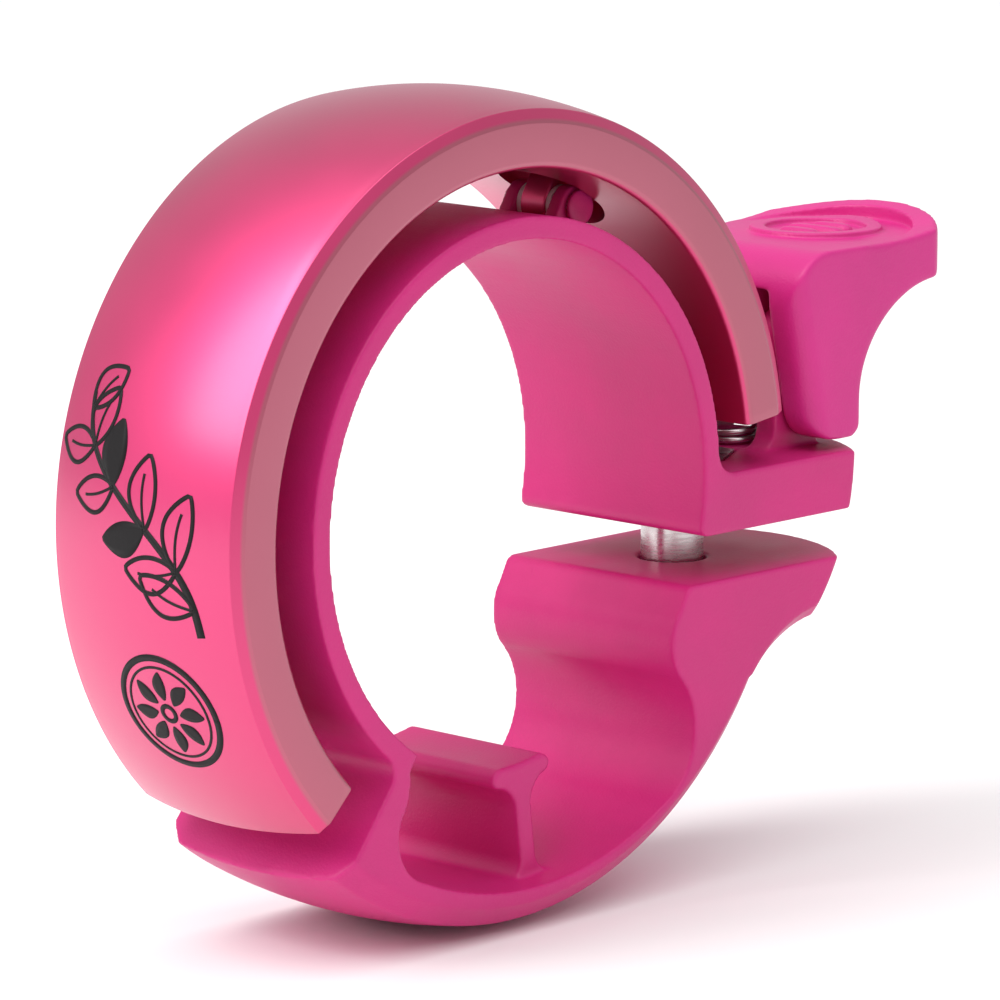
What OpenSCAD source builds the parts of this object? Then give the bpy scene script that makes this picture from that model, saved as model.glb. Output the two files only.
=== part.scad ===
// Handlebar ring bell: a C-shaped metal gong band hung on two cross pins round a moulded clamp
// band, with a thumb lever, a hammer pin and a coil spring at the clamp flanges.
// The bar runs along Y, the lever points to +X and +Z is up. Sizes are in millimetres.

/* [Handlebar and band] */
// Diameter of the handlebar that the band clamps
bar_d = 31.8; // [25:0.1:35]
// Width of the bell along the bar
bell_w = 15.16; // [14:0.1:20]
// Wall of the clamp band
band_t = 1.35; // [1:0.05:2.2]
// Depth of the cable channel below the bar
channel_d = 6.95; // [6:0.05:9]
// Wall under the cable channel
channel_wall = 2.6; // [2:0.1:4]

/* [Gong] */
// Air gap between the clamp band and the gong
gong_gap = 2.75; // [2.5:0.05:4]
// Thickness of the gong at the middle of its crown
gong_t = 4.3; // [3.5:0.1:6]
// Angle of the gong's upper end above the flanges
gong_start = 7.3; // [4:0.1:16]
// Angle that the gong goes round
gong_span = 217.7; // [190:0.1:222]
// Angle from each end of the gong to its fixing
gong_node = 51.5; // [40:0.1:65]
// Height of the crown across the gong's face
crown_h = 0.8; // [0.2:0.05:1.5]
// Radial size of the chamfer along both rims
rim_chamfer = 0.85; // [0.3:0.05:1.5]

/* [Gong fixings] */
// Radius of the cross pins
pin_r = 0.6; // [0.4:0.05:0.8]
// Wall of the rubber bush on each cross pin
bush_t = 0.33; // [0.2:0.01:0.5]
// Thickness of the bracket's ears at each fixing
ear_t = 1; // [0.8:0.05:1.1]
// Width of the gong's lug between the ears
lug_w = 2; // [1.6:0.1:2.2]
// Thickness of the nylon washers
washer_t = 0.33; // [0.2:0.01:0.4]
// Thickness of the pin heads and of the pin clips
pin_head_t = 0.3; // [0.2:0.05:0.35]

/* [Clamp] */
// Thickness of the upper flange
flange_t = 3.65; // [3.2:0.05:5]
// Gap between the flanges
clamp_gap = 2.85; // [1.5:0.05:4]
// Thickness of the lower flange over the bolt's washer
seat_t = 2.35; // [1.8:0.05:4]
// Radius of the clamp bolt's shank
bolt_r = 1.95; // [1.45:0.05:2.45]
// Length of the clamp bolt under its head
bolt_l = 10; // [9.5:0.5:14]
// Distance across the flats of the nut
nut_af = 7; // [5.5:0.1:8]
// Thickness of the nut
nut_t = 2.2; // [1.8:0.1:2.8]

/* [Lever] */
// Width of the lever along the bar
lever_w = 14; // [12.8:0.1:15]
// Reach of the paddle beyond the pivot
lever_reach = 13.9; // [11:0.1:18]
// Height of the paddle over the pivot
paddle_h = 5.7; // [5:0.1:8]
// Height of the pivot over the upper flange
pivot_h = 6.85; // [6.2:0.05:9]
// Radius of the pivot pin
pivot_r = 1; // [0.75:0.05:1.15]
// Thickness of the bracket's two cheeks
cheek_t = 1.63; // [1.2:0.01:1.9]
// Radius of the hammer pin
hammer_r = 0.9; // [0.6:0.05:1]
// Gap between the hammer and the gong at rest
hammer_gap = 0.27; // [0.25:0.01:0.8]
// Diameter of the raised ring on the thumb pad
pad_d = 8.4; // [6:0.1:9]

/* [Spring] */
// Outer radius of the coil
coil_r = 1.75; // [1.4:0.05:1.8]
// Diameter of the spring wire
wire_d = 0.42; // [0.3:0.02:0.5]
// Number of turns
coil_turns = 5; // [3:1:6]

/* [Hidden] */
$fn = 96;

// clearances
run_gap = 0.04;      // turning fits, radial
seat_gap = 0.03;     // pieces that sit side by side
cheek_gap = 0.17;    // lever to each side of a cheek
lever_gap = 0.65;    // lever foot to the upper flange
bolt_clear = 0.2;    // bolt to its holes, radial
eps = 0.01;
blend = 0.03;        // how far a fillet's circle runs into the faces that it blends

// colours
plastic_pink = "#D64A8A";
lever_pink = "#F95CB4";
anodised_pink = "#C94F80";
steel = "#C9CBCE";
rubber_black = "#1C1A1B";
nylon_white = "#E8E4E2";

// rings about the bar's axis
half_w = bell_w / 2;
bar_r = bar_d / 2;
band_or = bar_r + band_t;
gong_ri = band_or + gong_gap;
gong_ro = gong_ri + gong_t;
gong_rim = gong_ro - crown_h;              // where the crown meets the rim chamfer
gong_face = gong_rim - rim_chamfer;        // outer edge of the flat side faces
rim_y = half_w - 0.38;                     // side of the crown, inside the chamfer
gong_end = gong_start + gong_span;
fixing_angles = [gong_start + gong_node, gong_end - gong_node];
gong_inner_round = 0.45;

// cable channel and lower body
floor_c = [0.9, 0];
floor_r = bar_r + channel_d;
body_c = [0.3, -0.1];
body_r = floor_r + channel_wall - 0.1;
body_rim = body_r - 0.6;
body_face = body_rim - 1.2;
shelf_angle = -127;
pocket_left_a = -114.8;
pocket_left_r = 3;
pocket_right_a = -58.4;
pocket_right_r = 4.7;
pocket_left_c = floor_c + (floor_r - pocket_left_r + blend) * [cos(pocket_left_a), sin(pocket_left_a)];
pocket_right_c = floor_c
    + (floor_r - pocket_right_r + blend) * [cos(pocket_right_a), sin(pocket_right_a)];
nose_left_r = 4;                           // wall between the left pocket and the bar
nose_right_r = 3.5;                        // lip between the right pocket and the bar
rib_angle = -83.3;
rib_t = 1.28;
rib_w = bell_w - 4.1;
rib_lip_r = 0.56;                          // round edges of the rib's head
rib_lip_v = 1.9;                           // from the rib's middle to the centre of those edges
rib_fillet = 1.9;
rib_foot_fillet = 1.3;
rib_foot = floor_c.x * cos(rib_angle) + sqrt(pow(floor_r, 2) - pow(floor_c.x * sin(rib_angle), 2));
shelf_fillet = 1.35;

// clamp flanges
upper_top = -0.15;
upper_low = upper_top - flange_t;
lower_top = upper_low - clamp_gap;
nut_pocket_gap = 0.05;
bolt_x = band_or + nut_af / 2 + 0.55;
bolt_seat = lower_top - seat_t;
bolt_washer_r = bolt_r + 2.45;
bolt_washer_t = 0.8;
bolt_head_r = bolt_r + 1.55;
bolt_head_h = 2 * bolt_r + 0.1;
bolt_key_r = 0.89 * bolt_r;                // corners of the hexagon socket
counterbore_r = bolt_washer_r + 0.2;
flange_fillet = 1.5;
upper_corner_r = 0.7;                      // where each flange meets the bar
lower_corner_r = 1;
bolt_under = bolt_seat - bolt_washer_t;
under_r = 10 - blend;                      // hollow under the lower flange
under_a = -34.5;
nut_z = upper_top - nut_t;

// lever and its pivot
pivot_x = gong_ro + 3.8;
pivot_z = upper_top + pivot_h;
eye_r = pivot_r + 1;
cheek_in = coil_r + 0.82;                  // inner face of each cheek
cheek_out = cheek_in + cheek_t;
end_r = pivot_x - bolt_x + 4.6;            // end of the flanges, about the bolt
end_bow = 21;                              // bow of that end, from top to bottom
lever_foot = upper_top + lever_gap;
lever_out_r = end_r + 0.5;                 // outer face of the lever, about the bolt
lever_top = pivot_z + paddle_h;
crest_r = 2.9;
crest_c = [gong_ro + 0.7 + crest_r, lever_top - crest_r];
foot_r = 2.35;
foot_c = [crest_c.x + 0.85, lever_foot + foot_r];
throat_r = 6.9;                            // hollow under the paddle
throat_z = lever_foot + 2.3;
foot_chamfer = 0.5;
paddle_tip = pivot_x + lever_reach;
paddle_end_r = 8.4;
paddle_sweep_r = 31.8;                     // the paddle's top curves up to its tip
paddle_sweep_x = paddle_tip - 9;
lever_corner_r = 1.4;
pad_c = [paddle_tip - 7.3, 0];
pad_rise = 0.35;
pad_dish_r = pad_d / 2 + 1.9;
pad_rim = 1;
slot_top = pivot_z + 3.3;
pivot_l = lever_w - 2;
hammer_z = pivot_z - 2.3;
hammer_tip = sqrt(pow(gong_ro, 2) - pow(hammer_z, 2)) + hammer_gap;
hammer_l = 4.4;
hammer_dome = 1.4;

// return spring, standing on the flange under the lever
spring_x = bolt_x + nut_af / 2 + 2;
spring_z0 = upper_top + 0.02;
spring_h = 3.3;
spring_bore = coil_r + 0.35;
spigot_r = coil_r - wire_d - 0.15;

// gong fixings, each along its own radius
fix_r = band_or + 1.95;
lug_r = pin_r + bush_t + 0.45;
ear_r = lug_r - 0.03;
fix_washer_r = lug_r - 0.12;
washer_y = lug_w / 2 + seat_gap;
ear_y = washer_y + washer_t + seat_gap;
pin_head_y = ear_y + ear_t + seat_gap;
pin_head_r = pin_r + 0.35;
pin_tail = 0.15;
fix_pocket_w = pin_head_y + pin_head_t + pin_tail + 0.15;
fix_pocket_shift = 0.55;
fix_pocket_r = fix_r + ear_r + 0.9;

// ---- helpers ---------------------------------------------------------------------------------

// point at radius r and angle a
function polar(r, a) = [r * cos(a), r * sin(a)];

// point at distance r from a, towards b
function reach(a, b, r) = a + r * (b - a) / norm(b - a);

// flat outline of two circles and the strip tangent to both
module limb(c1, r1, c2, r2) {
    run = c2 - c1;
    a = atan2(run.y, run.x);
    b = acos((r1 - r2) / norm(run));
    translate(c1) circle(r1);
    translate(c2) circle(r2);
    polygon([c1 + polar(r1, a + b), c2 + polar(r2, a + b),
        c2 + polar(r2, a - b), c1 + polar(r1, a - b)]);
}

// an outline drawn in X and Z, carried along Y
module along_bar(w) {
    rotate([90, 0, 0]) linear_extrude(w, center = true) children();
}

// a round along Y at a place in X and Z, from y0 to y1
module cross_round(c, r, y0, y1) {
    translate([c.x, y1, c.y]) rotate([90, 0, 0]) cylinder(r = r, h = y1 - y0);
}

// half section of a crowned rim: radius along X, width along Y
module crown_section(r_mid, r_rim, r_face, w_rim, w_face) {
    sag = r_mid - r_rim;
    bow = (pow(w_rim, 2) + pow(sag, 2)) / (2 * sag);
    intersection() {
        translate([r_mid - bow, 0]) circle(bow, $fn = 360);
        polygon([[0, -w_face], [r_face, -w_face], [r_rim, -w_rim], [r_mid + 1, -w_rim],
            [r_mid + 1, w_rim], [r_rim, w_rim], [r_face, w_face], [0, w_face]]);
    }
}

// places its children at both gong fixings: X is outwards there
module at_fixing(i) {
    rotate([0, -fixing_angles[i], 0]) children();
}

// ---- bracket ---------------------------------------------------------------------------------

// the thin band over the top of the bar
module band_outline() {
    intersection() {
        difference() {
            circle(band_or);
            circle(bar_r);
        }
        polygon([[0, upper_low], [60, upper_low], [60, 60], [-60, 60], [-60, -60],
            polar(75, shelf_angle + 3), [0, 0]]);
    }
    // fillet from the band to the shelf
    r = band_or + shelf_fillet - blend;
    turn = asin((shelf_fillet - blend) / r);
    difference() {
        polygon([polar(band_or - 0.3, shelf_angle + 1), polar(r * cos(turn), shelf_angle + 1),
            polar(r * cos(turn), shelf_angle), polar(r, shelf_angle - turn),
            polar(band_or - 0.3, shelf_angle - turn)]);
        translate(polar(r, shelf_angle - turn)) circle(shelf_fillet);
    }
}

// the upper flange, with its fillet to the band
module upper_flange_outline() {
    z = upper_top + flange_fillet - blend;
    x = sqrt(pow(band_or + flange_fillet - blend, 2) - pow(z, 2));
    translate([bar_r - 2, upper_low]) square([40, flange_t]);
    difference() {
        translate([bar_r, upper_low + 1]) square([x - bar_r, z - upper_low - 1]);
        translate([x, z]) circle(flange_fillet);
    }
}

// centre of a round of radius q that touches the bar and a pocket, at the side s of the pocket
function nose_c(q, c, r, s) = let (d = norm(c), a = (pow(bar_r + q, 2) - pow(r + q, 2) + d * d) / (2 * d),
    h = sqrt(pow(bar_r + q, 2) - a * a)) (a * c + s * h * [-c.y, c.x]) / d;

// the room under the bar for cables
module channel_outline() {
    left = nose_c(nose_left_r, pocket_left_c, pocket_left_r, -1);
    right = nose_c(nose_right_r, pocket_right_c, pocket_right_r, 1);
    intersection() {
        translate(floor_c) circle(floor_r);
        translate(floor_c) polygon([[0, 0], polar(80, pocket_left_a), polar(80, pocket_right_a)]);
    }
    translate(pocket_left_c) circle(pocket_left_r);
    translate(pocket_right_c) circle(pocket_right_r);
    difference() {
        polygon([pocket_left_c, reach(pocket_left_c, left, pocket_left_r + 0.5),
            reach([0, 0], left, bar_r + 0.5), reach([0, 0], left, bar_r - 1),
            reach([0, 0], right, bar_r - 1), reach([0, 0], right, bar_r + 0.5),
            reach(pocket_right_c, right, pocket_right_r + 0.5), pocket_right_c]);
        translate(left) circle(nose_left_r + blend);
        translate(right) circle(nose_right_r + blend);
    }
}

// what a round of radius q takes off the corner of a flange's face at height z, on the side s
module flange_corner(z, q, s) {
    height = z + s * (q - blend);
    c = [sqrt(pow(bar_r + q - blend, 2) - height * height), height];
    difference() {
        polygon([c, [c.x, z - s], [c.x - q - 1.5, z - s], reach([0, 0], c, bar_r - 1)]);
        translate(c) circle(q);
    }
}

// rib with a round-edged head that the bar rests on, filleted into the channel's floor
module rib_outline() {
    difference() {
        rotate(rib_angle) {
            translate([bar_r + 0.5, -rib_t / 2]) square([rib_foot - bar_r, rib_t]);
            for (s = [-1, 1]) translate([bar_r + rib_lip_r - 0.01, s * rib_lip_v]) circle(rib_lip_r);
            difference() {
                translate([bar_r - 0.5, -rib_lip_v]) square([rib_fillet + 1.2, 2 * rib_lip_v]);
                for (s = [-1, 1])
                    translate([bar_r + 1 + rib_fillet, s * (rib_t / 2 + rib_fillet - blend)])
                        circle(rib_fillet);
            }
            difference() {
                translate([rib_foot - rib_foot_fillet, -rib_t / 2 - rib_foot_fillet + blend])
                    square([rib_foot_fillet + 1, rib_t + 2 * (rib_foot_fillet - blend)]);
                for (s = [-1, 1])
                    translate([rib_foot - rib_foot_fillet + blend,
                        s * (rib_t / 2 + rib_foot_fillet - blend)]) circle(rib_foot_fillet);
            }
        }
        circle(bar_r);
    }
}

// body under the cable channel, with both side rims chamfered and the outside crowned
module lower_body() {
    intersection() {
        translate([body_c.x, 0, body_c.y]) rotate([90, 0, 0]) rotate_extrude($fn = 180)
            intersection() {
                crown_section(body_r, body_rim, body_face, half_w - 1, half_w);
                translate([0, -20]) square([60, 40]);
            }
        along_bar(bell_w) polygon([[0, 0], polar(60, shelf_angle), [0, -80], [80, -80],
            [80, lower_top], [0, lower_top]]);
    }
}

// lower flange: a block whose underside is a hollow that blends into the body
module lower_flange() {
    meet = body_c + polar(body_face, under_a);
    hollow_c = body_c + polar(body_face + under_r, under_a);
    difference() {
        along_bar(bell_w) translate([pocket_right_c.x, meet.y + 0.4])
            square([40, lower_top - meet.y - 0.4]);
        translate([hollow_c.x, 0, hollow_c.y]) rotate([90, 0, 0]) rotate_extrude($fn = 180)
            polygon([[0, -half_w - 1], [under_r + 0.8, -half_w - 1], [under_r - 1.2, 1 - half_w],
                [under_r - 1.2, half_w - 1], [under_r + 0.8, half_w + 1], [0, half_w + 1]]);
    }
}

// round end of both flanges, about the bolt, drawn in a little towards the bottom
module flange_end_form() {
    translate([bolt_x - 60, -30, -60]) cube([60, 60, 120]);
    translate([bolt_x, 0, 0]) rotate_extrude($fn = 180) intersection() {
        translate([end_r - end_bow, 0]) circle(end_bow, $fn = 360);
        translate([0, -30]) square([40, 60]);
    }
}

// the two upright cheeks that hold the lever's pivot pin
module cheeks() {
    for (s = [-1, 1]) {
        mid = s * (cheek_in + cheek_out) / 2;
        translate([0, mid, 0]) along_bar(cheek_t) {
            translate([pivot_x, pivot_z]) circle(eye_r);
            translate([pivot_x - eye_r, upper_top - 1]) square([2 * eye_r, pivot_h + 1]);
            difference() {
                translate([pivot_x - eye_r - 1.4, upper_top - 1]) square([1.5, 2.4]);
                translate([pivot_x - eye_r - 1.4, upper_top + 1.4]) circle(1.4);
            }
        }
    }
}

// the pair of ears for one cross pin
module fixing_ears() {
    for (s = [-1, 1]) {
        y0 = s > 0 ? ear_y : -ear_y - ear_t;
        cross_round([fix_r, 0], ear_r, y0, y0 + ear_t);
        translate([band_or - 0.5, y0, -ear_r]) cube([fix_r - band_or + 0.5, ear_t, 2 * ear_r]);
    }
}

module bracket() {
    color(plastic_pink) difference() {
        union() {
            intersection() {
                along_bar(bell_w) difference() {
                    union() {
                        band_outline();
                        upper_flange_outline();
                    }
                    circle(bar_r);
                    flange_corner(upper_low, upper_corner_r, 1);
                    flange_corner(upper_low, upper_corner_r, 1);
                }
                flange_end_form();
            }
            difference() {
                union() {
                    lower_body();
                    intersection() {
                        lower_flange();
                        flange_end_form();
                    }
                }
                along_bar(bell_w + 2) {
                    circle(bar_r);
                    channel_outline();
                    flange_corner(lower_top, lower_corner_r, -1);
                }
            }
            along_bar(rib_w) intersection() {
                rib_outline();
                translate(floor_c) circle(floor_r + channel_wall / 2);
            }
            cheeks();
            for (i = [0, 1]) at_fixing(i) fixing_ears();
            translate([spring_x, 0, upper_top - 0.5]) cylinder(r = spigot_r, h = 1.4);
        }
        // clamp bolt, its washer and its nut
        translate([bolt_x, 0, bolt_seat - 1]) cylinder(r = bolt_r + bolt_clear, h = 20);
        translate([bolt_x, 0, bolt_seat - 30]) cylinder(r = counterbore_r, h = 30);
        translate([bolt_x, 0, nut_z - nut_pocket_gap]) rotate(30)
            cylinder(r = (nut_af / 2 + nut_pocket_gap) / cos(30), h = nut_t + 1, $fn = 6);
        // pivot pin and cross pins
        cross_round([pivot_x, pivot_z], pivot_r + eps, -cheek_out - 1, cheek_out + 1);
        for (i = [0, 1]) at_fixing(i)
            cross_round([fix_r, 0], pin_r + eps, -pin_head_y - 1, pin_head_y + 1);
    }
}

// ---- gong and its fixings --------------------------------------------------------------------

module gong_ring() {
    rotate([90, 0, 0]) rotate_extrude($fn = 180) difference() {
        crown_section(gong_ro, gong_rim, gong_face, rim_y, half_w);
        translate([0, -half_w - 1]) square([gong_ri, bell_w + 2]);
        for (s = [0, 1]) mirror([0, s]) difference() {
            translate([gong_ri - 1, half_w - gong_inner_round])
                square([gong_inner_round + 1, gong_inner_round + 1]);
            translate([gong_ri + gong_inner_round, half_w - gong_inner_round])
                circle(gong_inner_round);
        }
    }
}

// milled pocket round one fixing, leaving the lug for the bush
module fixing_pocket() {
    difference() {
        intersection() {
            cross_round([0, 0], fix_pocket_r, -half_w, half_w);
            translate([band_or, 0, 0]) rotate([0, 90, 0]) {
                for (s = [-1, 1])
                    translate([s * fix_pocket_shift, 0, 0]) cylinder(r = fix_pocket_w, h = 10);
                translate([-fix_pocket_shift, -fix_pocket_w, 0])
                    cube([2 * fix_pocket_shift, 2 * fix_pocket_w, 10]);
            }
        }
        fixing_lug();
    }
}

module fixing_lug() {
    cross_round([fix_r, 0], lug_r, -lug_w / 2, lug_w / 2);
    translate([fix_r, -lug_w / 2, -lug_r]) cube([fix_pocket_r - fix_r + 0.5, lug_w, 2 * lug_r]);
}

module gong() {
    color(anodised_pink) difference() {
        union() {
            difference() {
                intersection() {
                    gong_ring();
                    along_bar(bell_w + 2) polygon([[0, 0], polar(80, gong_start), polar(80, 60),
                        polar(80, 120), polar(80, 180), polar(80, gong_end)]);
                }
                for (i = [0, 1]) at_fixing(i) fixing_pocket();
            }
            for (i = [0, 1]) at_fixing(i) fixing_lug();
        }
        for (i = [0, 1]) at_fixing(i)
            cross_round([fix_r, 0], pin_r + bush_t + eps, -lug_w, lug_w);
    }
}

module gong_pin(i) {
    color(steel) at_fixing(i) {
        cross_round([fix_r, 0], pin_r, -pin_head_y - eps, pin_head_y + pin_head_t + pin_tail);
        cross_round([fix_r, 0], pin_head_r, -pin_head_y - pin_head_t, -pin_head_y);
    }
}

module gong_bush(i) {
    color(rubber_black) at_fixing(i) difference() {
        cross_round([fix_r, 0], pin_r + bush_t, -lug_w / 2, lug_w / 2);
        cross_round([fix_r, 0], pin_r + eps, -lug_w, lug_w);
    }
}

module fixing_washer(i, side) {
    y0 = side > 0 ? washer_y : -washer_y - washer_t;
    color(nylon_white) at_fixing(i) difference() {
        cross_round([fix_r, 0], fix_washer_r, y0, y0 + washer_t);
        cross_round([fix_r, 0], pin_r + eps, y0 - 1, y0 + washer_t + 1);
    }
}

module pin_clip(i) {
    color(steel) at_fixing(i) difference() {
        cross_round([fix_r, 0], pin_head_r, pin_head_y, pin_head_y + pin_head_t);
        cross_round([fix_r, 0], pin_r + eps, pin_head_y - 1, pin_head_y + pin_head_t + 1);
        translate([fix_r, pin_head_y - 1, -0.7 * pin_r]) cube([3, 3, 1.4 * pin_r]);
    }
}

// ---- lever -----------------------------------------------------------------------------------

// side view of the lever, before its outer face is hollowed
module lever_outline() {
    limb(crest_c, crest_r, foot_c, foot_r);
    difference() {
        polygon([[crest_c.x, lever_top], [paddle_sweep_x, lever_top], [paddle_sweep_x, lever_top + 3],
            [paddle_tip + 1, lever_top + 3], [paddle_tip + 1, throat_z],
            [foot_c.x + 8, lever_foot], [foot_c.x, lever_foot]]);
        translate([paddle_sweep_x, lever_top + paddle_sweep_r - 0.02])
            circle(paddle_sweep_r, $fn = 360);
    }
}

// prism that rounds the lever's two corners beside the gong, along its sloping inner face
module lever_corners() {
    run = foot_c - crest_c;
    slope = asin((run.x + crest_r - foot_r) / norm(run));
    face = crest_c + crest_r * [-cos(slope), -sin(slope)];
    w = lever_w / 2 + blend;
    translate([face.x, 0, face.y]) rotate([0, -slope, 0]) linear_extrude(60, center = true) {
        translate([lever_corner_r, -w]) square([60, 2 * w]);
        translate([0, lever_corner_r - w]) square([lever_corner_r + 1, 2 * (w - lever_corner_r)]);
        for (s = [-1, 1]) translate([lever_corner_r, s * (w - lever_corner_r)]) circle(lever_corner_r);
    }
}

// outside of the lever's foot and the hollow under its paddle, as one turned cutter
module throat_cutter() {
    c = [lever_out_r + throat_r, throat_z];
    translate([bolt_x, 0, 0]) rotate_extrude($fn = 180) {
        translate([lever_out_r, throat_z - 10]) square([30, 10]);
        polygon([[lever_out_r - foot_chamfer - 1, lever_foot - 1], [lever_out_r + 1, lever_foot - 1],
            [lever_out_r + 1, lever_foot + foot_chamfer + 1]]);
        translate(c) circle(throat_r);
        translate([c.x, throat_z - 10]) square([30, 10 + throat_r]);
    }
}

// room for one cheek: open towards the gong, and wider at the foot for the swing
module cheek_slot() {
    along_bar(cheek_t + 2 * cheek_gap) {
        translate([gong_ri, upper_top - 2])
            square([pivot_x + eye_r + 0.3 - gong_ri, slot_top - upper_top + 2]);
        polygon([[pivot_x, pivot_z], [pivot_x + eye_r + 0.3, pivot_z],
            [pivot_x + eye_r + 1.5, upper_top - 1], [pivot_x, upper_top - 1]]);
    }
}

module lever() {
    color(lever_pink) difference() {
        union() {
            intersection() {
                along_bar(lever_w) lever_outline();
                translate([0, 0, -60]) linear_extrude(120) {
                    translate([0, -lever_w / 2]) square([paddle_tip - paddle_end_r, lever_w]);
                    translate([paddle_tip - paddle_end_r, 0]) circle(paddle_end_r);
                }
                lever_corners();
            }
            translate([pad_c.x, pad_c.y, lever_top - 1]) cylinder(d = pad_d, h = 1 + pad_rise);
        }
        throat_cutter();
        for (s = [-1, 1]) translate([0, s * (cheek_in + cheek_out) / 2, 0]) cheek_slot();
        // thumb pad: a dish round the ring, and a shallow middle
        translate([pad_c.x, pad_c.y, lever_top + 0.02]) difference() {
            cylinder(r = pad_dish_r, h = 3);
            translate([0, 0, -1]) cylinder(d = pad_d, h = 5);
        }
        translate([pad_c.x, pad_c.y, lever_top]) cylinder(r = pad_d / 2 - pad_rim, h = 3);
        // pivot pin and hammer pin
        cross_round([pivot_x, pivot_z], pivot_r + run_gap, -pivot_l / 2 - 0.1, pivot_l / 2 + 0.1);
        translate([hammer_tip, 0, hammer_z]) rotate([0, 90, 0])
            cylinder(r = hammer_r + eps, h = hammer_l + 0.05);
        // room for the spring, with a seat for its top turn
        translate([gong_ri, -cheek_in, upper_top - 2])
            cube([spring_x + spring_bore + 0.4 - gong_ri, 2 * cheek_in, 2 + 2.3]);
        translate([spring_x, 0, upper_top]) cylinder(r = spring_bore, h = spring_h + 0.05);
    }
}

module pivot_pin() {
    color(steel) cross_round([pivot_x, pivot_z], pivot_r, -pivot_l / 2, pivot_l / 2);
}

// hammer pin with a domed striking end
module hammer_pin() {
    color(steel) translate([hammer_tip, 0, hammer_z]) rotate([0, 90, 0]) intersection() {
        cylinder(r = hammer_r, h = hammer_l);
        translate([0, 0, hammer_dome]) {
            sphere(hammer_dome);
            cylinder(r = 2 * hammer_r, h = hammer_l);
        }
    }
}

// ---- return spring ---------------------------------------------------------------------------

// round wire wound up the Z axis, closed by a flat face at each end
module return_spring() {
    sides = 8;
    steps = 20 * coil_turns;
    mean_r = coil_r - wire_d / 2;
    rise = spring_h - wire_d - 0.02;
    rings = [for (i = [0 : steps], j = [0 : sides - 1])
        let (a = 360 * coil_turns * i / steps, b = 360 * j / sides,
            r = mean_r + wire_d / 2 * cos(b))
        [r * cos(a), r * sin(a), wire_d / 2 + rise * i / steps + wire_d / 2 * sin(b)]];
    walls = [for (i = [0 : steps - 1], j = [0 : sides - 1])
        let (k = (j + 1) % sides, p = i * sides, q = (i + 1) * sides)
        each [[p + j, q + j, q + k], [p + j, q + k, p + k]]];
    first = [for (j = [0 : sides - 1]) j];
    last = [for (j = [sides - 1 : -1 : 0]) steps * sides + j];
    color(steel) translate([spring_x, 0, spring_z0])
        polyhedron(points = rings, faces = concat([first], walls, [last]));
}

// ---- clamp screw -----------------------------------------------------------------------------

module clamp_bolt() {
    color(steel) translate([bolt_x, 0, bolt_under]) difference() {
        union() {
            cylinder(r = bolt_r, h = bolt_l);
            translate([0, 0, -bolt_head_h]) cylinder(r = bolt_head_r, h = bolt_head_h);
        }
        translate([0, 0, -bolt_head_h - 1])
            cylinder(r = bolt_key_r, h = bolt_head_h / 2 + 1, $fn = 6);
    }
}

module clamp_washer() {
    color(steel) translate([bolt_x, 0, bolt_under]) difference() {
        cylinder(r = bolt_washer_r, h = bolt_washer_t - eps);
        translate([0, 0, -1]) cylinder(r = bolt_r + bolt_clear, h = 4);
    }
}

module clamp_nut() {
    color(steel) translate([bolt_x, 0, nut_z]) difference() {
        rotate(30) cylinder(r = nut_af / 2 / cos(30), h = nut_t, $fn = 6);
        translate([0, 0, -1]) cylinder(r = bolt_r + run_gap, h = nut_t + 2);
    }
}

bracket();
gong();
gong_pin(0);  // gong_pin_upper
gong_pin(1);  // gong_pin_rear
gong_bush(0);  // gong_bush_upper
gong_bush(1);  // gong_bush_rear
fixing_washer(0, -1);  // washer_upper_left
fixing_washer(0, 1);  // washer_upper_right
fixing_washer(1, -1);  // washer_rear_left
fixing_washer(1, 1);  // washer_rear_right
pin_clip(0);  // pin_clip_upper
pin_clip(1);  // pin_clip_rear
lever();
pivot_pin();
hammer_pin();
return_spring();
clamp_bolt();
clamp_washer();
clamp_nut();
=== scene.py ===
# Looks of the handlebar ring bell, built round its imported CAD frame. Metres, in the CAD frame:
# the handlebar runs along Y, the thumb lever points to +X and +Z is up.
import bmesh
import bpy
import math
import numpy as np
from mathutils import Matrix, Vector


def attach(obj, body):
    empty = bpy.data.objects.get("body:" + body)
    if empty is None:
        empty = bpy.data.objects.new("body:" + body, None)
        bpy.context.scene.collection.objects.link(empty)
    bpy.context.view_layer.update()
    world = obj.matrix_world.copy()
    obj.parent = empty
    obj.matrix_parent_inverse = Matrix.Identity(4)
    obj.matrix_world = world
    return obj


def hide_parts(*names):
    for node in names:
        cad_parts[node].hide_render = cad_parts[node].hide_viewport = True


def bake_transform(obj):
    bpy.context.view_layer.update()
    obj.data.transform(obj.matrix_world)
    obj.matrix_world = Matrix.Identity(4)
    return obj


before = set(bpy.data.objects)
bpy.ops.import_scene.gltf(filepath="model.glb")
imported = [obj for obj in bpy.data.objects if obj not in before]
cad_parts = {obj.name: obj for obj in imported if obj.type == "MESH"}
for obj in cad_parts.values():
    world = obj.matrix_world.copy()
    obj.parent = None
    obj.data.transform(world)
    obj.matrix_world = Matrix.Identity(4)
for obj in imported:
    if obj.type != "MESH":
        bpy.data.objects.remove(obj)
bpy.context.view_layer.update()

MM = 0.001

# ---- studio ------------------------------------------------------------------------------------
# White paper lit from overhead by a wide soft source, in an even white surround, with one soft box
# high at the left that streaks the gong.
scene = bpy.context.scene
scene.view_settings.view_transform = "Standard"
scene.view_settings.look = "None"


def linear(hex_colour):
    """sRGB hex to linear RGBA: c/12.92 below 0.04045, ((c + 0.055)/1.055)^2.4 above."""
    c = np.array([int(hex_colour[i:i + 2], 16) / 255 for i in (1, 3, 5)])
    return (*np.where(c <= 0.04045, c / 12.92, ((c + 0.055) / 1.055) ** 2.4), 1.0)


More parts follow.
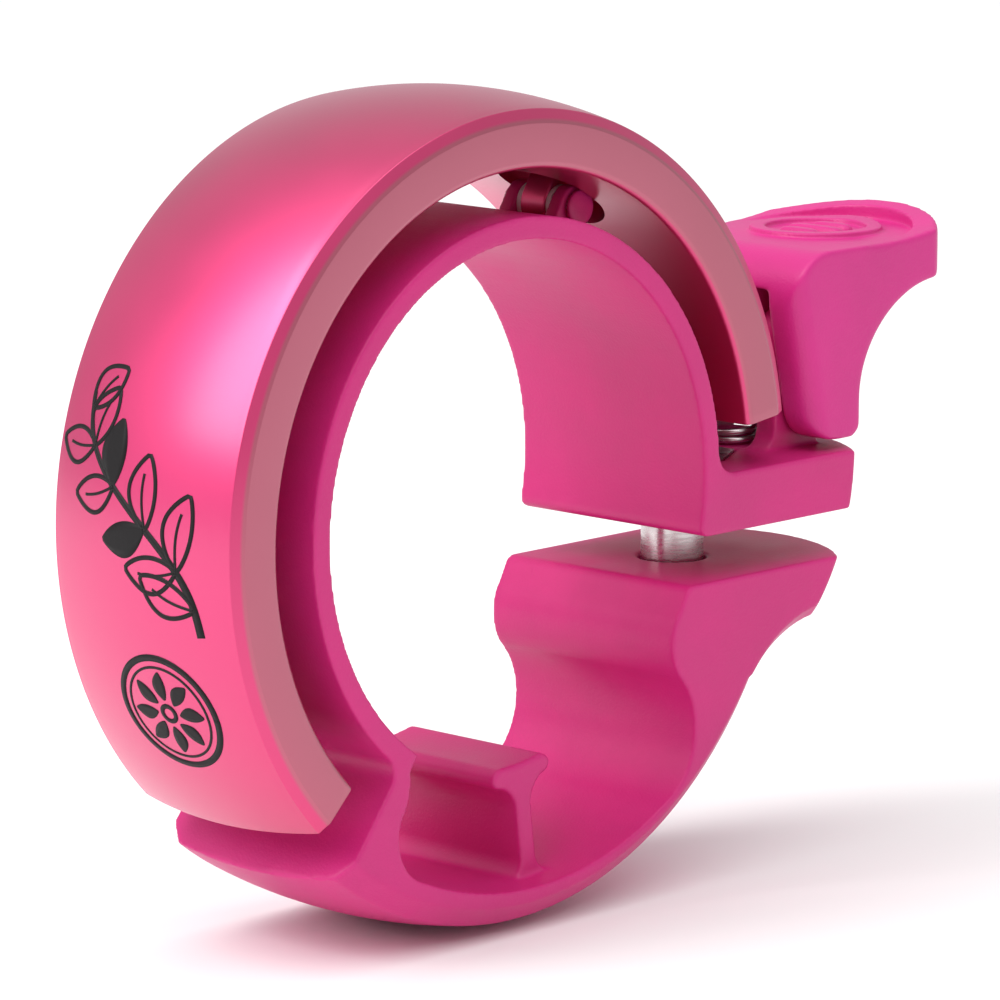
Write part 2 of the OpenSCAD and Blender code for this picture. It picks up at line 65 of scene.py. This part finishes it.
def add(material, kind, settings=None, **links):
    """Adds one node. Settings set a socket's value where the name or number is a socket's, else a
    property. Each link is socket=(node, output), with _ for a space in the socket's name."""
    made = material.node_tree.nodes.new(kind)
    for name, value in (settings or {}).items():
        if isinstance(name, int) or name in made.inputs:
            made.inputs[name].default_value = value
        else:
            setattr(made, name, value)
    for name, (source, output) in links.items():
        socket = int(name[1:]) if name[0] == "i" and name[1:].isdigit() else name.replace("_", " ")
        material.node_tree.links.new(source.outputs[output], made.inputs[socket])
    return made


def blank(name):
    """A new material with only its output node, and that node."""
    material = bpy.data.materials.new(name)
    material.use_nodes = True
    material.node_tree.nodes.clear()
    return material, material.node_tree.nodes.new("ShaderNodeOutputMaterial")


def finish_with(material, out, settings, **links):
    """Ends a material with a Principled shader of these settings and links."""
    shader = add(material, "ShaderNodeBsdfPrincipled", settings, **links)
    material.node_tree.links.new(shader.outputs["BSDF"], out.inputs["Surface"])
    return material


world = bpy.data.worlds.new("studio")
scene.world = world
world.use_nodes = True
world.node_tree.nodes["Background"].inputs["Color"].default_value = (1, 1, 1, 1)
world.node_tree.nodes["Background"].inputs["Strength"].default_value = 0.6

TARGET = Vector((5.83, 0, -1.12)) * MM
CAMERA_TURN, CAMERA_RISE, CAMERA_REACH = math.radians(-46.32), math.radians(10.37), 349 * MM
back = Vector((math.sin(CAMERA_TURN) * math.cos(CAMERA_RISE),
               -math.cos(CAMERA_TURN) * math.cos(CAMERA_RISE), math.sin(CAMERA_RISE)))
camera = bpy.data.objects.new("camera", bpy.data.cameras.new("camera"))
scene.collection.objects.link(camera)
camera.data.lens, camera.data.sensor_width = 209.2, 36
camera.data.clip_start, camera.data.clip_end = 0.01, 10
camera.location = TARGET + back * CAMERA_REACH
camera.rotation_mode = "QUATERNION"
camera.rotation_quaternion = (-back).to_track_quat("-Z", "Y")
scene.camera = camera


def soft_box(name, place, width, height, watts):
    """A rectangular area light at place, in millimetres, facing the bell."""
    light = bpy.data.objects.new(name, bpy.data.lights.new(name, "AREA"))
    scene.collection.objects.link(light)
    light.data.shape, light.data.energy = "RECTANGLE", watts
    light.data.size, light.data.size_y = width * MM, height * MM
    light.location = Vector(place) * MM
    light.rotation_mode = "QUATERNION"
    light.rotation_quaternion = (light.location - TARGET).to_track_quat("Z", "Y")


soft_box("box_left", (-255, 105, 235), 150, 330, 0.85)

overhead = bpy.data.objects.new("overhead", bpy.data.lights.new("overhead", "SUN"))
scene.collection.objects.link(overhead)
overhead.data.energy, overhead.data.angle = 1.5, math.radians(75)
overhead.rotation_mode = "QUATERNION"
overhead.rotation_quaternion = Vector((-0.25, -0.2, 1)).to_track_quat("Z", "Y")

PAPER_Z = -25.6 * MM
PAPER_HALF = 1.6
paper_mesh = bpy.data.meshes.new("paper")
paper_mesh.from_pydata([(x * PAPER_HALF, y * PAPER_HALF, PAPER_Z)
                        for x, y in ((-1, -1), (1, -1), (1, 1), (-1, 1))], [], [(0, 1, 2, 3)])
paper = bpy.data.objects.new("paper", paper_mesh)
scene.collection.objects.link(paper)
matt_paper, out = blank("matt_white_paper")
finish_with(matt_paper, out, {"Base Color": linear("#FBFBFB"), "Roughness": 0.9})
paper_mesh.materials.append(matt_paper)

# ---- bracket -----------------------------------------------------------------------------------
# The clamp band with its flanges, channel, rib, cheeks and ears: one injection moulding in pink
# nylon, satin from its tool, with small radii on every edge.


def settle(piece):
    """Turns a piece's modifiers into its mesh."""
    mesh = bpy.data.meshes.new_from_object(piece.evaluated_get(bpy.context.evaluated_depsgraph_get()))
    piece.modifiers.clear()
    piece.data = mesh


def moulded(source, name, body, material, voxel, passes, kept, crisp=None):
    """A welded copy of a CAD node, rebuilt on an even grid of that voxel size and relaxed that many
    times, so that each sharp edge gets the radius that a mould gives it, and then thinned to a
    share kept of its faces. Points within crisp = (x, y, least z, radius) are relaxed only five
    times. It stands for the node."""
    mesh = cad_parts[source].data.copy()
    if mesh.has_custom_normals:
        mesh.attributes.remove(mesh.attributes["custom_normal"])
    form = bmesh.new()
    form.from_mesh(mesh)
    bmesh.ops.remove_doubles(form, verts=form.verts, dist=0.001 * MM)
    form.to_mesh(mesh)
    form.free()
    piece = bpy.data.objects.new(name, mesh)
    scene.collection.objects.link(piece)
    grid = piece.modifiers.new("even_grid", "REMESH")
    grid.mode, grid.voxel_size, grid.use_smooth_shade = "VOXEL", voxel, True
    settle(piece)
    relaxed = piece.vertex_groups.new(name="relaxed")
    place = np.empty(len(piece.data.vertices) * 3, np.float32)
    piece.data.vertices.foreach_get("co", place)
    x, y, z = place.reshape(-1, 3).T / MM
    free = np.ones(len(x), bool)
    if crisp:
        free = (z < crisp[2]) | (np.hypot(x - crisp[0], y - crisp[1]) > crisp[3])
    relaxed.add(np.flatnonzero(free).tolist(), 1.0, "REPLACE")
    for group, times in (("", 5), ("relaxed", passes - 5)):
        relax = piece.modifiers.new("edge_radius", "SMOOTH")
        relax.factor, relax.iterations, relax.vertex_group = 0.5, times, group
    thin = piece.modifiers.new("thin", "DECIMATE")
    thin.ratio = kept
    settle(piece)
    piece.vertex_groups.clear()
    piece.data.name = name
    piece.data.materials.clear()
    piece.data.materials.append(material)
    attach(piece, body)
    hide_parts(source)
    return piece


def pink_nylon(name, colour):
    """Moulded nylon: a faint cloudiness 6 mm across, gloss that varies with it, and the tool's
    spark-eroded grain, which is 0.05 mm and is drawn at 0.16 mm so that it shows."""
    material, out = blank(name)
    place = add(material, "ShaderNodeTexCoord")
    cloud = add(material, "ShaderNodeTexNoise", {"Scale": 1 / (6 * MM), "Detail": 3.0},
                Vector=(place, "Object"))
    tint = add(material, "ShaderNodeValToRGB", Fac=(cloud, "Fac"))
    base = np.array(linear(colour)[:3])
    tint.color_ramp.elements[0].position, tint.color_ramp.elements[1].position = 0.3, 0.7
    tint.color_ramp.elements[0].color = (*(base * 0.94), 1)
    tint.color_ramp.elements[1].color = (*np.minimum(base * 1.06, 1), 1)
    gloss = add(material, "ShaderNodeMapRange", {"From Min": 0.3, "From Max": 0.7, "To Min": 0.36,
                                                 "To Max": 0.46}, Value=(cloud, "Fac"))
    grain = add(material, "ShaderNodeTexNoise", {"Scale": 1 / (0.16 * MM), "Detail": 2.0},
                Vector=(place, "Object"))
    bump = add(material, "ShaderNodeBump", {"Strength": 0.6, "Distance": 0.03 * MM},
               Height=(grain, "Fac"))
    return finish_with(material, out, {"Specular IOR Level": 0.38, "IOR": 1.5},
                       Base_Color=(tint, "Color"), Roughness=(gloss, "Result"),
                       Normal=(bump, "Normal"))


bracket = moulded("bracket", "bracket_moulding", "bracket",
                  pink_nylon("moulded_pink_nylon", "#CA2577"), 0.14 * MM, 9, 0.22)

# ---- gong --------------------------------------------------------------------------------------
# The ringing band: aluminium bar rolled to a C, turned to a crown with chamfered rims, milled
# inside at its two fixings, bead-blasted and dyed pink as it is anodised.
GONG_IN, GONG_CROWN, GONG_RIM, GONG_FACE = 20.0, 24.3, 23.5, 22.65   # radii
RIM_Y, HALF_WIDTH = 7.2, 7.58
GONG_START, GONG_END = math.radians(7.3), math.radians(225.0)


def rounded_loop(corners, radii, steps=5):
    """A closed outline through corners, each replaced by an arc of its radius: the arc's centre is
    radius / cos(half the turn) from the corner along the bisector, and it spans the turn."""
    corners = np.array(corners, float)
    made = []
    for i, radius in enumerate(radii):
        here, before, after = corners[i], corners[i - 1], corners[(i + 1) % len(corners)]
        a = (before - here) / np.linalg.norm(before - here)
        b = (after - here) / np.linalg.norm(after - here)
        if radius == 0:
            made.append(here[None])
            continue
        half = math.acos(np.clip(a @ b, -1, 1)) / 2
        middle = (a + b) / np.linalg.norm(a + b)
        centre = here + middle * radius / math.sin(half)
        first, last = here + a * radius / math.tan(half), here + b * radius / math.tan(half)
        t = np.linspace(0, 1, steps)[:, None]
        chord = first * (1 - t) + last * t - centre
        made.append(centre + chord / np.linalg.norm(chord, axis=1, keepdims=True) * radius)
    return np.concatenate(made)


def sheet_mesh(name, grid, loop=False, caps=False, material=None):
    """A mesh of the quads between the rows and columns of grid (rows, columns, 3). loop joins the
    last column to the first, and caps closes the first and last rows."""
    rows, columns = grid.shape[:2]
    r, c = np.meshgrid(np.arange(rows - 1), np.arange(columns if loop else columns - 1), indexing="ij")
    d = (c + 1) % columns
    quads = np.stack([r * columns + c, r * columns + d, (r + 1) * columns + d, (r + 1) * columns + c],
                     -1).reshape(-1, 4).tolist()
    if caps:
        quads += [list(range(columns))[::-1], list(range((rows - 1) * columns, rows * columns))]
    mesh = bpy.data.meshes.new(name)
    mesh.from_pydata(grid.reshape(-1, 3).tolist(), [], quads)
    mesh.update()
    form = bmesh.new()
    form.from_mesh(mesh)
    bmesh.ops.recalc_face_normals(form, faces=form.faces)
    form.to_mesh(mesh)
    form.free()
    mesh.shade_smooth()
    if material:
        mesh.materials.append(material)
    piece = bpy.data.objects.new(name, mesh)
    scene.collection.objects.link(piece)
    return piece


# the crown's arc is one circle through the middle and both rims
SAG = GONG_CROWN - GONG_RIM
CROWN_BOW = (RIM_Y ** 2 + SAG ** 2) / (2 * SAG)


def crown_radius(y):
    """Radius of the crown at a distance y from its middle: centre + sqrt(bow^2 - y^2)."""
    return GONG_CROWN - CROWN_BOW + np.sqrt(CROWN_BOW ** 2 - y ** 2)


def gong_section(inset):
    """The gong's section as (radius, y), with every face moved in by inset."""
    y = np.linspace(-RIM_Y + 0.25, RIM_Y - 0.25, 25)
    crown = np.stack([crown_radius(y) - inset, y], -1)
    side, rim = HALF_WIDTH - inset, RIM_Y - inset * 0.55
    low, high, flat = GONG_IN + inset, crown_radius(RIM_Y) - inset * 0.75, GONG_FACE - inset * 0.35
    round_in, round_rim = 0.45 - inset * 0.6, 0.1
    corners = [(low, side), (low, -side), (flat, -side), (high, -rim), (high, rim), (flat, side)]
    loop = rounded_loop(corners, [round_in, round_in, round_rim, round_rim, round_rim, round_rim], 6)
    # corner 3 ends and corner 4 starts the crown
    return np.concatenate([loop[:24], crown, loop[24:]])


def gong_grid():
    """The section carried round the bar: point = (r cos a, y, r sin a). At each end the section
    draws in by edge (1 - sin t) while the angle runs on by edge cos t, for t from 90 to 0."""
    edge, steps = 0.12, 5
    t = np.linspace(0, math.pi / 2, steps)
    ends = edge * (1 - np.sin(t))
    reach = edge * (1 - np.cos(t)) / 22
    angles = np.concatenate([GONG_START + reach, np.linspace(GONG_START, GONG_END, 240)[2:-2],
                             (GONG_END - reach)[::-1]])
    insets = np.concatenate([ends, np.zeros(236), ends[::-1]])
    sections = np.stack([gong_section(i) for i in insets])
    r, y = sections[..., 0], sections[..., 1]
    return np.stack([r * np.cos(angles)[:, None], y, r * np.sin(angles)[:, None]], -1) * MM


# two milled pockets, each a slot with round ends that leaves a lug for the rubber bush
FIXING_ANGLES = [math.radians(58.8), math.radians(173.5)]
POCKET_FLOOR, POCKET_HALF, POCKET_SHIFT = 21.45, 3.1, 0.55
FIX_R, LUG_R, LUG_HALF, BUSH_HOLE = 19.2, 1.38, 1.0, 0.94


def turned_to(points, angle):
    """Points (outwards, y, along) at a fixing, turned to its angle a about Y: x cos a - z sin a and
    x sin a + z cos a."""
    c, s = math.cos(angle), math.sin(angle)
    x, y, z = points[..., 0], points[..., 1], points[..., 2]
    return np.stack([x * c - z * s, y, x * s + z * c], -1)


def slot_outline(half, shift, count=24):
    """A slot with round ends as (y, z): a circle of radius half, its two halves shift apart."""
    a = np.linspace(0, 2 * math.pi, 2 * count, endpoint=False)
    return np.stack([half * np.cos(a), half * np.sin(a) + shift * np.sign(np.sin(a) + 1e-9)], -1)


def pocket_cutter(angle):
    """The slot carried outwards from inside the gong to a floor that follows the bar's curve."""
    outline = slot_outline(POCKET_HALF, POCKET_SHIFT)
    floor_x = np.sqrt(POCKET_FLOOR ** 2 - outline[:, 1] ** 2)
    rows = [np.stack([np.full(len(outline), 18.0), outline[:, 0], outline[:, 1]], -1),
            np.stack([floor_x, outline[:, 0], outline[:, 1]], -1)]
    for share in np.linspace(0.85, 0.0, 7)[:-1]:
        z = outline[:, 1] * share
        rows.append(np.stack([np.sqrt(POCKET_FLOOR ** 2 - z ** 2), outline[:, 0] * share, z], -1))
    return turned_to(np.stack(rows), angle) * MM


def cut(piece, cutter, how="DIFFERENCE"):
    """Cuts a cutter out of a piece, or joins it on, and takes the cutter away."""
    modifier = piece.modifiers.new("mill", "BOOLEAN")
    modifier.operation, modifier.solver, modifier.object = how, "EXACT", cutter
    settle(piece)
    bpy.data.objects.remove(cutter)


def lug(angle):
    """The lug's outline, a half round about the cross pin and straight sides out to the gong,
    carried across its width with 0.12 mm rounded edges."""
    a = np.linspace(math.pi / 2, 3 * math.pi / 2, 17)
    outline = np.concatenate([np.stack([FIX_R + LUG_R * np.cos(a), LUG_R * np.sin(a)], -1),
                              [[22.2, -LUG_R], [22.2, LUG_R]]])
    middle = np.array([FIX_R + 1, 0])
    rows = []
    for y, inset in ((-1, 0.12), (-0.96, 0.04), (-0.88, 0), (0.88, 0), (0.96, 0.04), (1, 0.12)):
        moved = outline + (middle - outline) * inset / LUG_R
        rows.append(np.stack([moved[:, 0], np.full(len(moved), y * LUG_HALF), moved[:, 1]], -1))
    return turned_to(np.stack(rows), angle) * MM


def round_rod(radius, low, high, angle, count=32):
    """A rod about the cross pin's line, from y low to y high."""
    a = np.linspace(0, 2 * math.pi, count, endpoint=False)
    ring = np.stack([FIX_R + radius * np.cos(a), np.zeros(count), radius * np.sin(a)], -1)
    return turned_to(np.stack([ring + [0, low, 0], ring + [0, high, 0]]), angle) * MM


def anodised_gong():
    """Anodised aluminium: a pink dyed oxide over blasted metal. The crown's blast is 0.1 mm and is
    drawn at 0.14 mm; the flat sides are milled, and their paler, greyer pink is a painted reflection
    of the dimmer surround they face."""
    material, out = blank("anodised_aluminium")
    place = add(material, "ShaderNodeTexCoord")
    axes = add(material, "ShaderNodeSeparateXYZ", Vector=(place, "Object"))
    across = add(material, "ShaderNodeMath", {"operation": "ABSOLUTE"}, i0=(axes, "Y"))
    # mask of the flat sides, more than 7.44 mm from the middle, where a painted reflection goes
    side = add(material, "ShaderNodeMapRange", {"From Min": 7.44 * MM, "From Max": 7.52 * MM},
               Value=(across, 0))
    cloud = add(material, "ShaderNodeTexNoise", {"Scale": 1 / (9 * MM), "Detail": 2.0},
                Vector=(place, "Object"))
    crown = add(material, "ShaderNodeValToRGB", Fac=(cloud, "Fac"))
    crown.color_ramp.elements[0].color = linear("#D22C6E")
    crown.color_ramp.elements[1].color = linear("#DA3476")
    # B8566F on the flat sides is a painted reflection of a dimmer surround, laid over the crown's dyed
    # pink
    colour = add(material, "ShaderNodeMix", {"data_type": "RGBA", 7: linear("#B8566F")},
                 Factor=(side, "Result"))
    material.node_tree.links.new(crown.outputs["Color"], colour.inputs[6])
    gloss = add(material, "ShaderNodeMapRange", {"From Min": 0.3, "From Max": 0.7, "To Min": 0.42,
                                                 "To Max": 0.48}, Value=(cloud, "Fac"))
    blast = add(material, "ShaderNodeTexNoise", {"Scale": 1 / (0.14 * MM), "Detail": 2.0},
                Vector=(place, "Object"))
    bump = add(material, "ShaderNodeBump", {"Strength": 0.3, "Distance": 0.012 * MM},
               Height=(blast, "Fac"))
    return finish_with(material, out, {"Metallic": 1.0, "Coat Weight": 0.95, "Coat Roughness": 0.27,
                                       "Coat IOR": 1.6},
                       Base_Color=(colour, 2), Roughness=(gloss, "Result"), Normal=(bump, "Normal"))


gong = sheet_mesh("gong_band", gong_grid(), loop=True, caps=True, material=anodised_gong())
for fixing_angle in FIXING_ANGLES:
    cut(gong, sheet_mesh("cutter", pocket_cutter(fixing_angle), loop=True, caps=True))
    cut(gong, sheet_mesh("lug", lug(fixing_angle), loop=True, caps=True), "UNION")
    cut(gong, sheet_mesh("bore", round_rod(BUSH_HOLE, -2, 2, fixing_angle), loop=True, caps=True))
gong.data.name = "gong_band"
gong.data.set_sharp_from_angle(angle=math.radians(24))
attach(gong, "bracket")
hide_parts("gong")

# ---- lever -------------------------------------------------------------------------------------
# The thumb lever: moulded in the same pink nylon, round on every edge, with a dished thumb pad.
PAD_X, PAD_Z, PAD_EDGE = 34.7, 12.4, 6.4   # the thumb pad's middle, its floor, and its outer edge
lever = moulded("lever", "thumb_lever", "lever",
                pink_nylon("glossier_pink_nylon", "#D02A84"), 0.1 * MM, 55, 0.35,
                crisp=(PAD_X, 0, PAD_Z - 0.2, PAD_EDGE))


# the thumb pad's mark: three raised grip bars inside the pad's ring, moulded with the lever
BAR_STEP, BAR_HALF_WIDTH, BAR_RISE = 1.6, 0.42, 0.34


def grip_bar(x, half_length):
    """A raised bar with round ends: height = rise sqrt(1 - s^2) over an oval of half sizes
    half_width by half_length, s being 0 in the middle and 1 at its edge."""
    s, a = np.linspace(1, 0, 7)[:, None], np.linspace(0, 2 * math.pi, 32, endpoint=False)
    round_end = half_length - BAR_HALF_WIDTH
    edge_x = BAR_HALF_WIDTH * np.cos(a)
    edge_y = BAR_HALF_WIDTH * np.sin(a) + round_end * np.sign(np.sin(a) + 1e-9)
    dome = np.stack([x + s * edge_x, s * edge_y,
                     np.broadcast_to(PAD_Z + BAR_RISE * np.sqrt(1 - s ** 4), (7, 32))], -1)
    foot = dome[:1] - [0, 0, 0.25]
    return np.concatenate([foot, dome[:-1]]) * MM


BAR_HALF_LENGTHS = (1.6, 2.3, 1.6)
for bar, half_length in enumerate(BAR_HALF_LENGTHS):
    mark = sheet_mesh(f"grip_bar_{bar + 1}", grip_bar(PAD_X + (bar - 1) * BAR_STEP, half_length),
                      loop=True, caps=True, material=lever.data.materials[0])
    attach(mark, "lever")

# ---- print -------------------------------------------------------------------------------------
# Pad-printed black ink on the crown, cured to a satin skin: a sprig of leaves in line and solid,
# and under it a round badge with an eight-petal flower.
INK_RISE, INK_SINK = 0.025, 0.02

ink, out = blank("cured_black_ink")
ink_place = add(ink, "ShaderNodeTexCoord")
ink_cloud = add(ink, "ShaderNodeTexNoise", {"Scale": 1 / (0.3 * MM), "Detail": 2.0},
                Vector=(ink_place, "Object"))
ink_gloss = add(ink, "ShaderNodeMapRange", {"To Min": 0.45, "To Max": 0.6}, Value=(ink_cloud, "Fac"))
ink_bump = add(ink, "ShaderNodeBump", {"Strength": 0.25, "Distance": 0.01 * MM},
               Height=(ink_cloud, "Fac"))
finish_with(ink, out, {"Base Color": linear("#0D080B"), "Specular IOR Level": 0.25},
            Roughness=(ink_gloss, "Result"), Normal=(ink_bump, "Normal"))


def on_crown(points, lift):
    """Print points (right, up) in millimetres from the crown's leftmost line, laid on the crown:
    angle = 180 degrees - up / radius, and y = -right."""
    y, angle = -points[..., 0], math.pi - points[..., 1] / GONG_CROWN
    r = crown_radius(y) + lift
    return np.stack([r * np.cos(angle), y, r * np.sin(angle)], -1) * MM


def inked(name, left, right, columns=5):
    """Solid ink between two edges of the same length: five columns of points from one to the other
    on the outside, and the same under the crown's surface, closed as a loop along the edges."""
    share = np.linspace(0, 1, columns)[:, None, None]
    flat = (left * (1 - share) + right * share).transpose(1, 0, 2)
    around = np.concatenate([on_crown(flat, INK_RISE), on_crown(flat, -INK_SINK)[:, ::-1]], 1)
    piece = sheet_mesh(name, around, loop=True, caps=True, material=ink)
    return piece


def stroke(name, points, widths):
    """An inked line: each edge is the path moved half its width along the path's normal."""
    points = np.array(points, float)
    along = np.gradient(points, axis=0)
    normal = np.stack([-along[:, 1], along[:, 0]], -1)
    normal /= np.linalg.norm(normal, axis=1, keepdims=True)
    half = normal * np.broadcast_to(widths, len(points))[:, None] / 2
    return inked(name, points + half, points - half, 2)


def leaf_edges(foot, turn, length, width, count=25):
    """A leaf's two edges: half width = width/2 sin(pi t)^0.8, bowed by 0.08 of its length."""
    t = np.linspace(0.02, 0.98, count)
    half = width / 2 * np.sin(math.pi * t) ** 0.8
    c, s = math.cos(turn), math.sin(turn)
    x, bow = t * length, 0.08 * length * np.sin(math.pi * t)
    left, right = np.stack([x, bow + half], -1), np.stack([x, bow - half], -1)
    turned = np.array([[c, s], [-s, c]])
    return left @ turned + foot, right @ turned + foot


def stem(t):
    """The sprig's stem, t from 0 at its foot to 1: a slow S, right = 4.9 - 9.6 t + 1.3 sin(2 pi t),
    up = -4.6 + 13.2 t."""
    return np.stack([4.9 - 9.6 * t + 1.3 * np.sin(2 * math.pi * t), -4.6 + 13.2 * t], -1)


printed = [stroke("sprig_stem", stem(np.linspace(0, 1, 40)), np.linspace(0.55, 0.3, 40))]
for pair, t in enumerate(np.linspace(0.12, 0.93, 6)):
    ahead = math.atan2(*(stem(np.array([t + 0.01])) - stem(np.array([t])))[0][::-1])
    for side in (1, -1):
        length = 4.9 - 0.3 * pair - 0.6 * (side > 0)
        edges = leaf_edges(stem(np.array([t]))[0], ahead + side * math.radians(52), length, 2.1)
        tag = f"leaf_{pair + 1}_{'left' if side > 0 else 'right'}"
        if np.abs(np.concatenate(edges)[:, 0]).max() > RIM_Y - 0.2:
            continue
        if (pair + (side > 0)) % 3 == 0:
            printed.append(inked(tag, *edges))
        else:
            rim = np.concatenate([edges[0], edges[1][::-1], edges[0][:1]])
            printed.append(stroke(tag, rim, 0.27))
            vein = (edges[0] + edges[1])[:-6] / 2
            printed.append(stroke(tag + "_vein", vein, 0.17))

BADGE = np.array([0.9, -9.9])   # the badge's middle, right and up
turn = np.linspace(0, 2 * math.pi, 97)
for name, radius, width in (("badge_ring", 3.6, 0.42), ("badge_inner_ring", 3.0, 0.16),
                            ("badge_eye", 0.5, 0.3)):
    printed.append(stroke(name, BADGE + radius * np.stack([np.cos(turn), np.sin(turn)], -1), width))
for petal in range(8):
    heading = petal * math.pi / 4
    foot = BADGE + 0.85 * np.array([math.cos(heading), math.sin(heading)])
    printed.append(inked(f"badge_petal_{petal + 1}", *leaf_edges(foot, heading, 1.9, 0.95)))
for part in printed:
    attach(part, "bracket")

# ---- return spring -----------------------------------------------------------------------------
# A compression spring of drawn wire with closed ends, between the flange and the lever's foot.
SPRING_X, COIL_RADIUS, WIRE_RADIUS, TURNS = 26.8, 1.54, 0.21, 5
SPRING_LOW, SPRING_HIGH = -0.13, 3.17


def spring_tube():
    """A wire along a helix: height = s - sin(2 pi s)/8 of the free length, so that the end turns
    lie close, and each ring of 12 points stands across the wire."""
    s = np.linspace(0, 1, TURNS * 40)
    a = s * TURNS * 2 * math.pi
    low, high = SPRING_LOW + WIRE_RADIUS, SPRING_HIGH - WIRE_RADIUS
    z = low + (high - low) * (s - np.sin(2 * math.pi * s) / 8)
    path = np.stack([SPRING_X + COIL_RADIUS * np.cos(a), COIL_RADIUS * np.sin(a), z], -1)
    along = np.gradient(path, axis=0)
    along /= np.linalg.norm(along, axis=1, keepdims=True)
    out_of = np.stack([np.cos(a), np.sin(a), np.zeros_like(a)], -1)
    across = np.cross(along, out_of)
    across /= np.linalg.norm(across, axis=1, keepdims=True)
    b = np.linspace(0, 2 * math.pi, 12, endpoint=False)[None, :, None]
    ring = np.cos(b) * out_of[:, None] + np.sin(b) * across[:, None]
    return (path[:, None] + WIRE_RADIUS * ring) * MM


def bare_metal(name, colour, low, high, mark):
    """Plated or drawn steel: gloss from low to high in streaks mark millimetres apart across the
    piece's height, as turning and drawing leave them, with a faint bump in step."""
    material, out = blank(name)
    place = add(material, "ShaderNodeTexCoord")
    stretch = add(material, "ShaderNodeMapping", {"Scale": (900, 900, 1 / (mark * MM))},
                  Vector=(place, "Object"))
    streak = add(material, "ShaderNodeTexNoise", {"Scale": 1.0, "Detail": 3.0},
                 Vector=(stretch, "Vector"))
    gloss = add(material, "ShaderNodeMapRange", {"From Min": 0.3, "From Max": 0.7, "To Min": low,
                                                 "To Max": high}, Value=(streak, "Fac"))
    bump = add(material, "ShaderNodeBump", {"Strength": 0.2, "Distance": 0.01 * MM},
               Height=(streak, "Fac"))
    return finish_with(material, out, {"Base Color": linear(colour), "Metallic": 1.0},
                       Roughness=(gloss, "Result"), Normal=(bump, "Normal"))


drawn_wire = bare_metal("drawn_spring_wire", "#D9D5D6", 0.24, 0.36, 0.1)
spring = sheet_mesh("spring_wire", spring_tube(), loop=True, caps=True, material=drawn_wire)
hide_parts("return_spring")
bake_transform(spring)

# ---- small parts -------------------------------------------------------------------------------
# Zinc-plated turned pins, bolt, nut and washer, moulded rubber bushes that hang the gong, and pale
# nylon washers beside its lugs. Their shapes are the frame's own; each gets its finish here.


def soft_part(name, colour, low, high, grain):
    """A moulded soft part: its grain is that many millimetres, in the gloss and in a low bump."""
    material, out = blank(name)
    place = add(material, "ShaderNodeTexCoord")
    speck = add(material, "ShaderNodeTexNoise", {"Scale": 1 / (grain * MM), "Detail": 3.0},
                Vector=(place, "Object"))
    gloss = add(material, "ShaderNodeMapRange", {"To Min": low, "To Max": high}, Value=(speck, "Fac"))
    bump = add(material, "ShaderNodeBump", {"Strength": 0.4, "Distance": 0.02 * MM},
               Height=(speck, "Fac"))
    return finish_with(material, out, {"Base Color": linear(colour)}, Roughness=(gloss, "Result"),
                       Normal=(bump, "Normal"))


# a moulded cap pressed into the bracket's ear hides the head of each cross pin
CAP_RADIUS, CAP_RISE, PIN_HEAD_Y = 1.08, 0.15, -2.72


def pin_cap(angle):
    """A low dome over a pin's head: distance out = rise (1 - s^4)^0.5 at s of its radius, from a
    foot sunk 0.15 mm below the head's face."""
    s = np.array([1, 1, 0.98, 0.92, 0.8, 0.6, 0.3, 0.04])[:, None]
    out_by = np.concatenate([[[-0.15]], CAP_RISE * np.sqrt(1 - s[1:] ** 4)])
    a = np.linspace(0, 2 * math.pi, 32, endpoint=False)[None]
    x, z = FIX_R + CAP_RADIUS * s * np.cos(a), CAP_RADIUS * s * np.sin(a)
    return turned_to(np.stack([x, PIN_HEAD_Y - out_by + 0 * x, z], -1), angle) * MM


for number, fixing_angle in enumerate(FIXING_ANGLES, 1):
    cap = sheet_mesh(f"pin_cap_{number}", pin_cap(fixing_angle), loop=True, caps=True,
                     material=bracket.data.materials[0])
    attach(cap, "bracket")

finishes = {"steel": bare_metal("zinc_plated_steel", "#CFC8C8", 0.2, 0.34, 0.12),
            "spring_steel": drawn_wire,
            "bush_rubber": soft_part("moulded_rubber", "#8E1247", 0.5, 0.65, 0.2),
            "washer_nylon": soft_part("moulded_white_nylon", "#DAD3D1", 0.35, 0.5, 0.15)}
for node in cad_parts.values():
    for holder in node.material_slots:
        kind = holder.material.name.split(".")[0] if holder.material else ""
        if kind in finishes:
            holder.material = finishes[kind]
